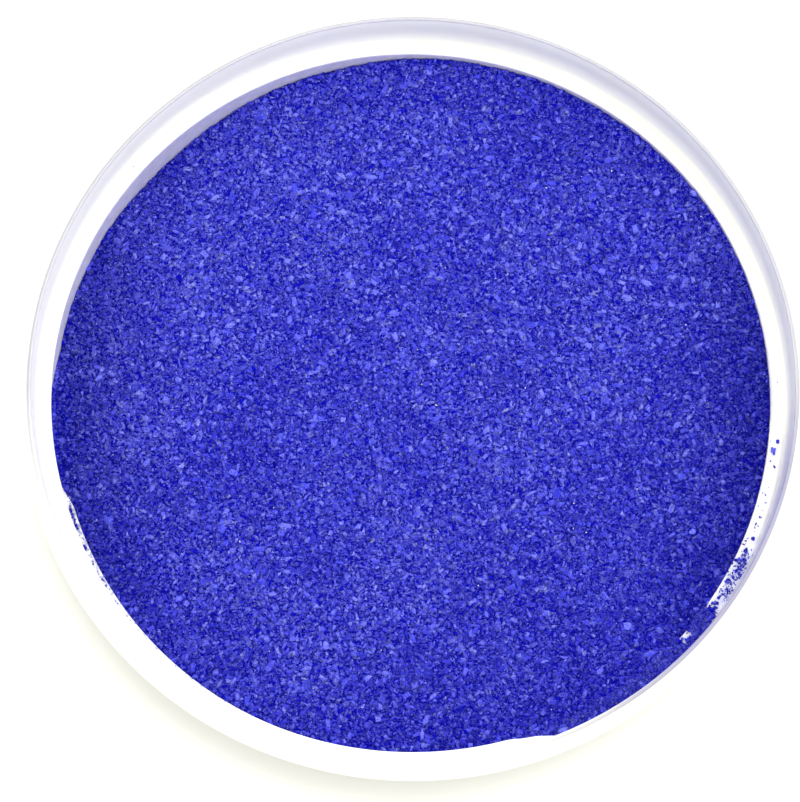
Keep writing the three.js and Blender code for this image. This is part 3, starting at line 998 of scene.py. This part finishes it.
def piece(name, mesh, material, slot_name, *replaced):
    """One visible piece on the dish's only body, standing for the CAD nodes it replaces."""
    mesh.materials.append(material)
    thing = bpy.data.objects.new(name, mesh)
    bpy.context.scene.collection.objects.link(thing)
    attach(thing, BODY)
    if replaced:
        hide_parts(*replaced)


def build_dish():
    piece("dish", dish_mesh(), plastic_material(), "dish_plastic", "dish_body")


def build_crystals():
    blue = crystal_material()
    rng = np.random.default_rng(SEED + 1)
    piece("crystal_charge", bed_core_mesh(), blue, "crystal", "crystal_bed")
    grains = bed_grains()
    sector_of = (grains["angle"] // (360 / SECTORS)).astype(int)
    for k in range(SECTORS):
        mesh = grain_mesh("grains", chosen(grains, sector_of == k), rng)
        piece(f"crystal_grains_{k + 1}", mesh, blue, "crystal")
    piece("spilt_grains", grain_mesh("spilt", shelf_grains(), rng), blue, "crystal", "crystal_drift")
    for node, (tone, clump) in SHELF_CRYSTALS.items():
        piece(f"{node}_detail", loose_crystal(node, tone, clump, rng), blue, "crystal", node)
    for k, tone in enumerate(BED_FLAKE_TONES, 1):
        node = f"bed_flake_{k}"
        piece(f"{node}_detail", loose_crystal(node, tone, 0, rng), blue, "pale_crystal", node)


# --- camera, floor and light --------------------------------------------------------------------

CAMERA_PLACE = (3.43, -87.73, 363.49)
CAMERA_TURN = (13.805, 0.135, 2.712)  # degrees about X, Y and Z
FOCAL_LENGTH = 134.7  # mm, with the sensor below
SENSOR_WIDTH = 36
FLOOR_REACH = 3.0  # metres from the middle to each side
FLOOR_DROP = 0.0001  # metres, so that the floor and the dish's foot don't share a plane


def add_camera():
    data = bpy.data.cameras.new("camera")
    data.lens = FOCAL_LENGTH
    data.sensor_width = SENSOR_WIDTH
    camera = bpy.data.objects.new("camera", data)
    camera.location = [c * MM for c in CAMERA_PLACE]
    camera.rotation_euler = [math.radians(a) for a in CAMERA_TURN]
    bpy.context.scene.collection.objects.link(camera)
    bpy.context.scene.camera = camera


def add_floor():
    mesh = bpy.data.meshes.new("floor")
    corners = [(x * FLOOR_REACH, y * FLOOR_REACH, 0) for x, y in ((-1, -1), (1, -1), (1, 1), (-1, 1))]
    mesh.from_pydata(corners, [], [(0, 1, 2, 3)])
    mesh.materials.append(floor_material())
    floor = bpy.data.objects.new("floor", mesh)
    floor.location.z = -FLOOR_DROP
    bpy.context.scene.collection.objects.link(floor)


LAMP_PLACE = (0.06, 0.08, 1.00)  # metres
LAMP_SIZE = 0.35
LAMP_POWER = 4.0


def add_lamp():
    """A soft disc of light high above the dish, aimed at it."""
    data = bpy.data.lights.new("overhead", "AREA")
    data.shape = "DISK"
    data.size = LAMP_SIZE
    data.energy = LAMP_POWER
    light = bpy.data.objects.new("overhead", data)
    light.location = LAMP_PLACE
    light.rotation_euler = (-Vector(LAMP_PLACE)).to_track_quat("-Z", "Y").to_euler()
    bpy.context.scene.collection.objects.link(light)


SKY_STRENGTH = 1.25
SKY_SLANT = 0.32  # how much brighter the sky is on its bright side than overhead
SKY_BRIGHT_SIDE = (0.7071, 0.7071, 0.0)


def add_sky():
    """A wide soft sky, brighter towards the far right."""
    world = bpy.data.worlds.new("studio")
    world.use_nodes = True
    tree = world.node_tree
    background = tree.nodes["Background"]
    background.inputs["Color"].default_value = (1.0, 1.0, 1.0, 1)
    direction = tree.nodes.new("ShaderNodeTexCoord")
    side = tree.nodes.new("ShaderNodeVectorMath")
    side.operation = "DOT_PRODUCT"
    side.inputs[1].default_value = SKY_BRIGHT_SIDE
    tree.links.new(direction.outputs["Generated"], side.inputs[0])
    strength = tree.nodes.new("ShaderNodeMapRange")
    strength.inputs["From Min"].default_value = -1
    strength.inputs["From Max"].default_value = 1
    strength.inputs["To Min"].default_value = SKY_STRENGTH * (1 - SKY_SLANT)
    strength.inputs["To Max"].default_value = SKY_STRENGTH * (1 + SKY_SLANT)
    tree.links.new(side.outputs["Value"], strength.inputs["Value"])
    tree.links.new(strength.outputs["Result"], background.inputs["Strength"])
    bpy.context.scene.world = world


def add_light():
    add_sky()
    add_lamp()
    bpy.context.scene.view_settings.view_transform = "Standard"


add_camera()
add_floor()
add_light()
build_dish()
build_crystals()
